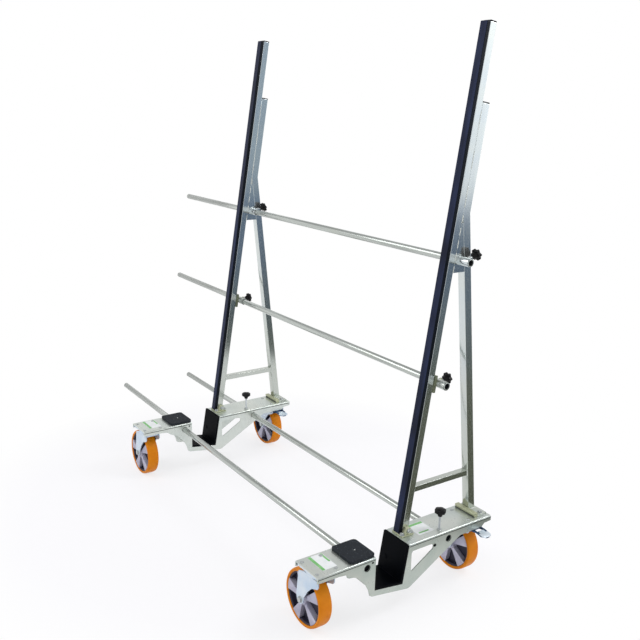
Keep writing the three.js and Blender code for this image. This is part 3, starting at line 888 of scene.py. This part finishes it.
# The ring under the deck knob as (radius, height above the deck)
KNOB_COLLAR = ((0.0044, 0.0), (0.0090, 0.0), (0.0090, 0.0016), (0.0080, 0.0021), (0.0080, 0.0052),
               (0.0074, 0.0058), (0.0044, 0.0058))
PAD_SCREW_Y = -0.188
PAD_SCREW_RISE = 0.0055
WELL_FLOOR = 0.102
WELL_WALL_FOOT = -0.0365
WELL_WALL_SLOPE = 22 / 138
RIVET_X = -0.034
RIVET_HEIGHT = 0.158
# Black plugs in the cheeks' small holes, painted shade for the holes: y, height and how far they lie within
# the cheek's face
ARM_PLUG = (-0.160, 0.225, 0.0022)
WINDOW_PLUG = (0.1085, 0.2045, 0.0)


def make_stickers(side):
    film = 0.0003
    corner = 0.003
    band_corner = 0.0015
    band_lift = 0.00025
    white = bmesh.new()
    green = bmesh.new()
    for centre_x, centre_y, half_x, half_y, bands in STICKERS[:STICKER_COUNT[side]]:
        place = Vector((FRAME_X[side] + centre_x, centre_y, DECK_TOP))
        slab(white, rounded_outline(half_x, half_y, corner), film, Matrix.Translation(place))
        for shift_x, shift_y, band_x, band_y in bands:
            band_place = place + Vector((shift_x, shift_y, band_lift))
            slab(green, rounded_outline(band_x, band_y, band_corner), film, Matrix.Translation(band_place))
    piece(side + "_sticker", white, side + "_frame", PAPER)
    piece(side + "_sticker_bands", green, side + "_frame", GREEN)


def post_back(z):
    """Where the back of the post tube lies at a height."""
    up = (z - DECK_TOP + TUBE_BACK * math.sin(LEAN)) / math.cos(LEAN)
    return leaned(TUBE_BACK + SEAT_GAP / 2, up)[0]


def strut_front(z):
    """Where the front of the falling strut lies at a height."""
    return STRUT_FRONT - (z - FOOT_TOP) * STRUT_FALL


def make_welds(side):
    shape = bmesh.new()

    def upright(x, line, low, high, radius):
        bead(shape, (x, line(low), low), (x, line(high), high), radius)

    def level(start, end, radius):
        bead(shape, (*start, FOOT_TOP), (*end, FOOT_TOP), radius)

    right = FRAME_X[side] + TUBE_RIGHT
    left = FRAME_X[side] + TUBE_LEFT
    for low, high in SEAM_WELDS:
        for edge in (left, right):
            upright(edge, post_back, low, high, SEAM_BEAD)
    brace_low, brace_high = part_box(side + "_cross_brace")
    for edge in (brace_low[0], brace_high[0]):
        for line in (post_back, strut_front):
            upright(edge, line, brace_low[2], brace_high[2], BRACE_BEAD)
    strut_back = STRUT_FRONT + STRUT_DEPTH
    for edge in (left, right):
        level((edge, POST_FOOT_WELD[0]), (edge, POST_FOOT_WELD[1]), BRACE_BEAD)
        level((edge, STRUT_FRONT), (edge, strut_back), STRUT_BEAD)
    level((left, strut_back), (right, strut_back), STRUT_BEAD)
    piece(side + "_seam_welds", shape, side + "_frame", WELD, crease=60)


def make_foot_bolts(side):
    """The bolts of both feet, and the ring under the deck knob."""
    x = FRAME_X[side]
    shape = bmesh.new()
    for bolt_x, bolt_y in FOOT_BOLTS:
        hex_bolt(shape, (x + bolt_x, bolt_y, FOOT_TOP), Z_AXIS, across=0.0125, height=0.006, washer=0.0095)
    rib_x, rib_y, rib_z = RIB_BOLT
    hex_bolt(shape, (x + rib_x, rib_y, rib_z), X_AXIS, across=0.0125, height=0.006, washer=0.0085)
    knob_x, knob_y, _ = pivot(side + "_deck_knob_turn")
    spun(shape, KNOB_COLLAR, Z_AXIS, (knob_x, knob_y, DECK_TOP), steps=32)
    piece(side + "_foot_bolts", shape, side + "_frame", BOLT, crease=35)


def make_pad_screw(side):
    shape = bmesh.new()
    place = (FRAME_X[side], PAD_SCREW_Y, DECK_TOP + PAD_SCREW_RISE)
    hex_bolt(shape, place, Z_AXIS, across=0.006, height=0.003, washer=0.0053)
    piece(side + "_pad_screw", shape, side + "_frame", BOLT, crease=35)


def make_lining_rivet(side):
    """The rivet in the lining's rear wall, and the black plugs in the cheeks' small holes, which are painted
    shade for the holes.
    """
    x = FRAME_X[side]
    shape = bmesh.new()
    wall_y = WELL_WALL_FOOT + (RIVET_HEIGHT - WELL_FLOOR) * WELL_WALL_SLOPE
    wall = Vector((0, -1, WELL_WALL_SLOPE)).normalized()
    dome_bolt(shape, (x + RIVET_X, wall_y, RIVET_HEIGHT), wall, radius=0.008, height=0.0018)

    def shade_plug(sign, y, z, depth, radius):
        dome_bolt(shape, (x + sign * (HALF_DECK - depth), y, z), X_AXIS * sign, radius, height=0.0012)

    for sign in (-1, 1):
        shade_plug(sign, *ARM_PLUG, radius=0.0038)
        if side == "right":
            shade_plug(sign, *WINDOW_PLUG, radius=0.0055)
    piece(side + "_lining_rivet", shape, side + "_frame", LINING, crease=35)


def make_joint_shadows(side):
    """Painted shadow: dark strips for the narrow open joint between the deck and each cheek, and a dark block
    for the gap under the stop bar.
    """
    half_width = 0.0014
    drop = 0.0074
    film = 0.0003
    stop_x = -0.004
    stop_y = 0.31325
    stop_half = (0.0475, 0.00375)
    stop_seat = 0.0002
    stop_height = 0.0042
    x = FRAME_X[side]
    shape = bmesh.new()
    for sign in (-1, 1):
        turn = Matrix((Y_AXIS * sign, Z_AXIS, X_AXIS * sign)).transposed().to_4x4()
        for start, end in JOINT_SHADOW_RUNS:
            middle = Vector((x + sign * HALF_DECK, (start + end) / 2, DECK_TOP - drop))
            line = rectangle((end - start) / 2, half_width)
            slab(shape, line, film, Matrix.Translation(middle) @ turn)
    # A dark block under the stop bar is the painted shadow of the gap there.
    shadow_under_stop = Matrix.Translation((x + stop_x, stop_y, DECK_TOP + stop_seat))
    slab(shape, rectangle(*stop_half), stop_height, shadow_under_stop)
    piece(side + "_deck_joints", shape, side + "_frame", JOINT_SHADOW, crease=35)


def make_middle_bracket(side):
    """The bracket of the middle bar, with its sleeve as bright as the bar."""
    tolerance = 0.0006
    made = softened(side + "_middle_bracket", (BRACKET, BAR), width=0.0008)
    y, z = bar_line("middle_bar")
    corners = made.data.vertices
    for face in made.data.polygons:
        reach = max(math.hypot(corners[index].co.y - y, corners[index].co.z - z) for index in face.vertices)
        face.material_index = int(reach < SLEEVE_RADIUS + tolerance)


def make_facing(side):
    """The rubber on the post, with painted shade: its two sides take a darker copy of the rubber."""
    sideways = 0.7
    made = softened(side + "_post_facing", (FACING, FACING_PAINTED_SHADE), width=0.0022)
    for face in made.data.polygons:
        face.material_index = int(abs(face.normal.x) > sideways)


def make_frame(side):
    for node, material, width in (
            ("post_foot", OLIVE, 0.0012), ("strut_foot", OLIVE, 0.0012),
            ("head_gusset", TUBE, 0.0008), ("post_tube", TUBE, 0.0016), ("rear_strut", TUBE, 0.0016),
            ("cross_brace", TUBE, 0.0009)):
        softened(side + "_" + node, material, width)
    make_middle_bracket(side)
    softened(side + "_base_channel", PLATES[side], width=0.0012, fold=DECK_FOLD)
    make_facing(side)
    softened(side + "_well_lining", LINING, width=0.0016)
    softened(side + "_front_pad", PAD, width=0.0014)
    softened(side + "_post_cap", PLASTIC, width=0.0012)
    softened(side + "_strut_cap", PLASTIC, width=0.0012)
    for knob in KNOBS:
        make_knob(side, knob)
    for end in ENDS:
        make_caster(side, end)
    make_stickers(side)
    make_welds(side)
    make_foot_bolts(side)
    make_pad_screw(side)
    make_lining_rivet(side)
    make_joint_shadows(side)


for each_bar in BARS:
    make_bar(each_bar)
for each_side in SIDES:
    make_frame(each_side)


# Camera, light and floor

# Focal length and picture width in pixels, sensor in millimetres, place from the right frame's middle
FOCAL_PIXELS = 808.34
PICTURE_PIXELS = 640
SENSOR_WIDTH = 36
CAMERA_YAW = math.radians(54.869)
CAMERA_PITCH = math.radians(14.876)
CAMERA_ROLL = math.radians(1.558)
CAMERA_PLACE = (1.8384, -1.6428, 1.6378)
FLOOR_RADIUS = 1.36
FLOOR_FADE = (0.95, 1.30)
FLOOR_GLOW = 0.72
WINDOW_WAY = (0.574, 0.819, 0.0)
CURTAIN_RADIUS = 30.0
CURTAIN_FROM = math.radians(-15)
CURTAIN_SWEEP = math.radians(110)
CURTAIN_LOW = -0.7 * CURTAIN_RADIUS
CURTAIN_HIGH = 0.5 * CURTAIN_RADIUS
CORNER_WAY = (0.707, 0.707, 0.0)
PIER_WAY = (0.927, 0.375, 0.0)


def make_camera():
    yaw, pitch, roll = CAMERA_YAW, CAMERA_PITCH, CAMERA_ROLL
    ahead = Vector((-math.sin(yaw) * math.cos(pitch), math.cos(yaw) * math.cos(pitch), -math.sin(pitch)))
    right = Vector((math.cos(yaw), math.sin(yaw), 0))
    up = right.cross(ahead)
    across = right * math.cos(roll) + up * math.sin(roll)
    above = up * math.cos(roll) - right * math.sin(roll)
    data = bpy.data.cameras.new("camera")
    data.lens = FOCAL_PIXELS / PICTURE_PIXELS * SENSOR_WIDTH
    data.sensor_width = SENSOR_WIDTH
    made = bpy.data.objects.new("camera", data)
    turn = Matrix((across, above, -ahead)).transposed().to_4x4()
    place = Vector(CAMERA_PLACE) + X_AXIS * FRAME_X["right"]
    made.matrix_world = Matrix.Translation(place) @ turn
    bpy.context.collection.objects.link(made)
    bpy.context.scene.camera = made


def make_lamp(name, place, target, size, power):
    data = bpy.data.lights.new(name, "AREA")
    data.size = size
    data.energy = power
    made = bpy.data.objects.new(name, data)
    made.location = place
    made.rotation_euler = (Vector(target) - Vector(place)).to_track_quat("-Z", "Y").to_euler()
    bpy.context.collection.objects.link(made)


def set_up(name, shape, material, hidden_from=()):
    """Puts a piece of the studio into the scene."""
    mesh = bpy.data.meshes.new(name)
    shape.to_mesh(mesh)
    shape.free()
    mesh.materials.append(material)
    made = bpy.data.objects.new(name, mesh)
    for ray in hidden_from:
        setattr(made, "visible_" + ray, False)
    bpy.context.collection.objects.link(made)


def make_floor():
    """A white floor that keeps the shadows and fades into the room at its edge."""
    shape = bmesh.new()
    bmesh.ops.create_circle(shape, cap_ends=True, segments=96, radius=FLOOR_RADIUS)
    finish = Finish("floor_paper", 0.9, Specular_IOR_Level=0.1)
    finish.color((0.92, 0.91, 0.98, 1.0))
    seen = finish.node("ShaderNodeLightPath", {}, {}, "Is Camera Ray")
    seen = seen + finish.node("ShaderNodeLightPath", {}, {}, "Is Glossy Ray")
    seen = seen + finish.node("ShaderNodeLightPath", {}, {}, "Is Transmission Ray")
    away = finish.node("ShaderNodeVectorMath", {"operation": "LENGTH"}, {0: finish.place}, "Value")
    share = seen * finish.spread(away, *FLOOR_FADE, FLOOR_GLOW, 1.0)
    paper = Value(finish, finish.shader.outputs["BSDF"])
    finish.mix_surface(share, paper, finish.node("ShaderNodeEmission", {}, {}))
    set_up("floor", shape, finish.material)


def make_world():
    """A white room, grey overhead, with a window on the far right side."""
    world = bpy.data.worlds.new("studio")
    world.use_nodes = True
    bpy.context.scene.world = world
    room = Shading(world.node_tree)
    toward = room.node("ShaderNodeTexCoord", {}, {}, "Generated")
    height = room.part(toward, "Z")
    overhead = room.spread(height, 0.25, 0.7, easing="SMOOTHSTEP")
    walls = room.blend(overhead, (1.0, 1.0, 1.0, 1.0), (0.55, 0.55, 0.56, 1.0))
    window = room.spread(room.reach(toward, WINDOW_WAY), 0.82, 0.93, easing="SMOOTHSTEP")
    window = window * room.spread(height, 0.2, 0.45, 1.0, 0.0, "SMOOTHSTEP")
    color = room.blend(window, walls, (1.6, 1.6, 1.6, 1.0))
    room.feed(world.node_tree.nodes["Background"].inputs["Color"], color)


def make_curtain():
    """A tinted curtain far off to the right, grey above and dark below, that shows in reflections only."""
    shape = bmesh.new()
    x = CURTAIN_RADIUS * math.cos(CURTAIN_FROM)
    y = CURTAIN_RADIUS * math.sin(CURTAIN_FROM)
    ends = [shape.verts.new((x, y, z)) for z in (CURTAIN_LOW, CURTAIN_HIGH)]
    edge = shape.edges.new(ends)
    bmesh.ops.spin(shape, geom=[*ends, edge], cent=(0, 0, 0), axis=Z_AXIS, angle=CURTAIN_SWEEP, steps=24,
                   use_merge=False, use_duplicate=False)
    finish = Finish("curtain_cloth")
    toward = finish.node("ShaderNodeVectorMath", {"operation": "NORMALIZE"}, {0: finish.place}, "Vector")
    height = finish.part(toward, "Z")
    low = finish.spread(height, -0.08, -0.045, 1.0, 0.0)
    corner = finish.spread(finish.reach(toward, CORNER_WAY), 0.45, 0.85) * low
    pier = finish.spread(finish.reach(toward, PIER_WAY), 0.91, 0.95)
    pier = pier * finish.spread(height, 0.2, 0.45, 1.0, 0.0)
    depth = finish.spread(height, -0.31, -0.11)
    shade = finish.blend(depth, (0.056, 0.064, 0.029, 1.0), (0.045, 0.098, 0.18, 1.0))
    color = finish.blend(low, (0.31, 0.39, 0.47, 1.0), shade)
    cloth = finish.node("ShaderNodeEmission", {}, {"Color": color})
    clear = finish.node("ShaderNodeBsdfTransparent", {}, {})
    finish.mix_surface(corner.larger(pier), clear, cloth)
    set_up("curtain", shape, finish.material, ("camera", "diffuse", "shadow"))


make_camera()
make_world()
make_lamp("key", place=(-0.6, -3.6, 4.0), target=(0.2, 0.0, 0.8), size=2.6, power=70)
make_lamp("top", place=(1.9, 2.1, 3.2), target=(0.6, 0.0, 0.2), size=1.4, power=46)
make_floor()
make_curtain()
bpy.context.scene.view_settings.view_transform = "Standard"
